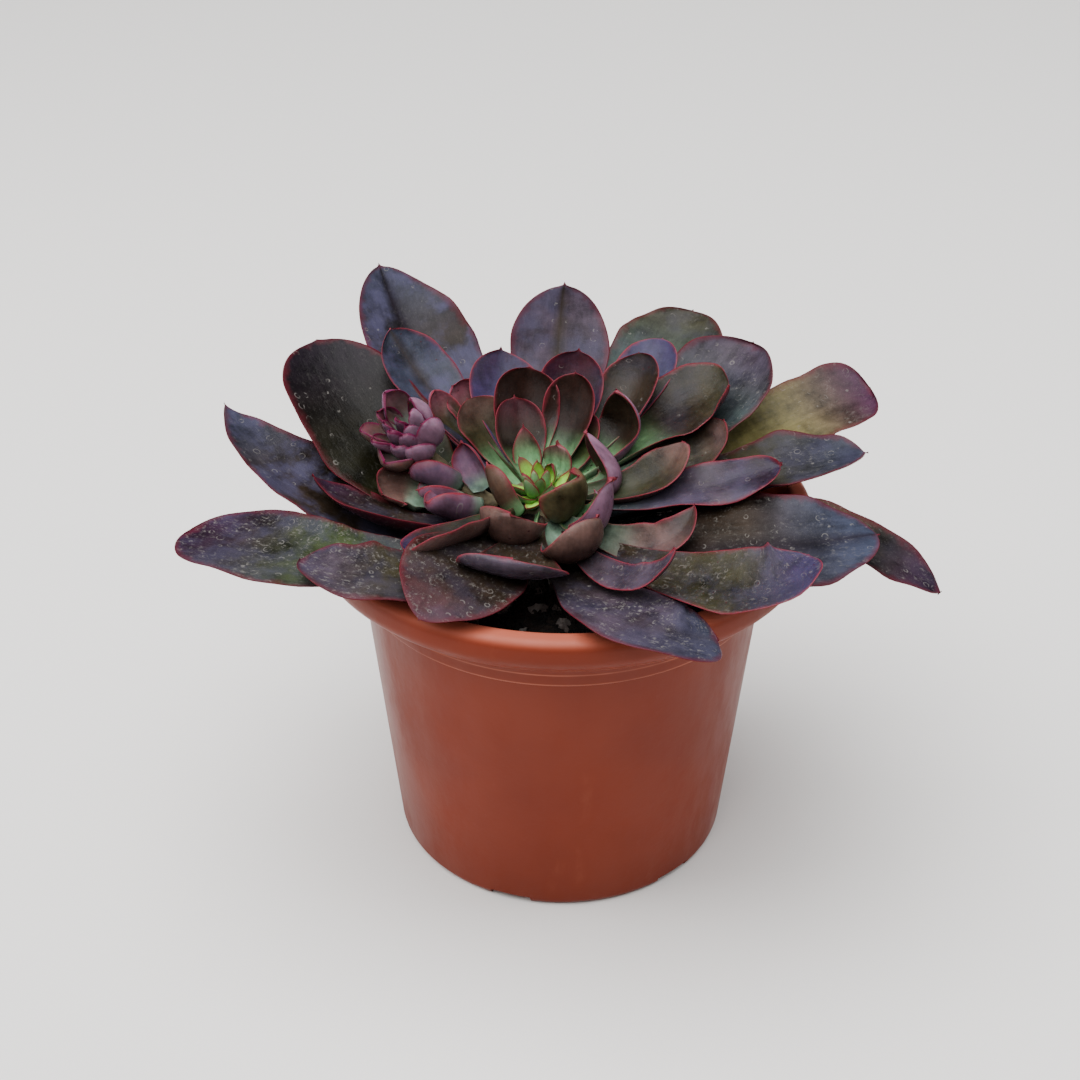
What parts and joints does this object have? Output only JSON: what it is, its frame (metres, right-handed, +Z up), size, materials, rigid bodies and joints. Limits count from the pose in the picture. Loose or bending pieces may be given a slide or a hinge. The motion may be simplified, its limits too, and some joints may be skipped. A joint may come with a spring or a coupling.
{
  "type": "potted echeveria",
  "caption": "Leafy succulent rosette with a small side rosette, standing in soil in a tapered round nursery pot with a rolled lip and a drained base.",
  "frame": {"origin": "middle of the pot's foot, on the pot's axis, at the surface that the pot stands on", "axes": "+Z up along the pot's axis; the front of the plant faces -Y, the side rosette lies towards -X"},
  "size_m": [0.1885, 0.15, 0.1331],
  "materials": {
    "pot": "terracotta coloured polypropylene, satin",
    "soil": "dark peat potting soil with pale grit",
    "outer_leaf": "fleshy purple brown leaf with a waxy bloom and water marks",
    "inner_leaf": "fleshy green brown leaf with a red edge",
    "young_leaf": "fleshy lavender leaf with a magenta edge"
  },
  "bodies": {
    "root": {"pot": "pot", "soil": "soil", "rosette": "inner_leaf", "offset_rosette": "young_leaf", "outer_leaf_01": "outer_leaf", "outer_leaf_02": "outer_leaf", "outer_leaf_03": "outer_leaf", "outer_leaf_04": "outer_leaf", "outer_leaf_05": "outer_leaf", "outer_leaf_06": "outer_leaf", "outer_leaf_07": "outer_leaf", "outer_leaf_08": "outer_leaf", "outer_leaf_09": "outer_leaf", "outer_leaf_10": "outer_leaf", "outer_leaf_11": "outer_leaf", "outer_leaf_12": "outer_leaf", "outer_leaf_13": "outer_leaf", "outer_leaf_14": "outer_leaf", "outer_leaf_15": "outer_leaf"}
  },
  "joints": []
}
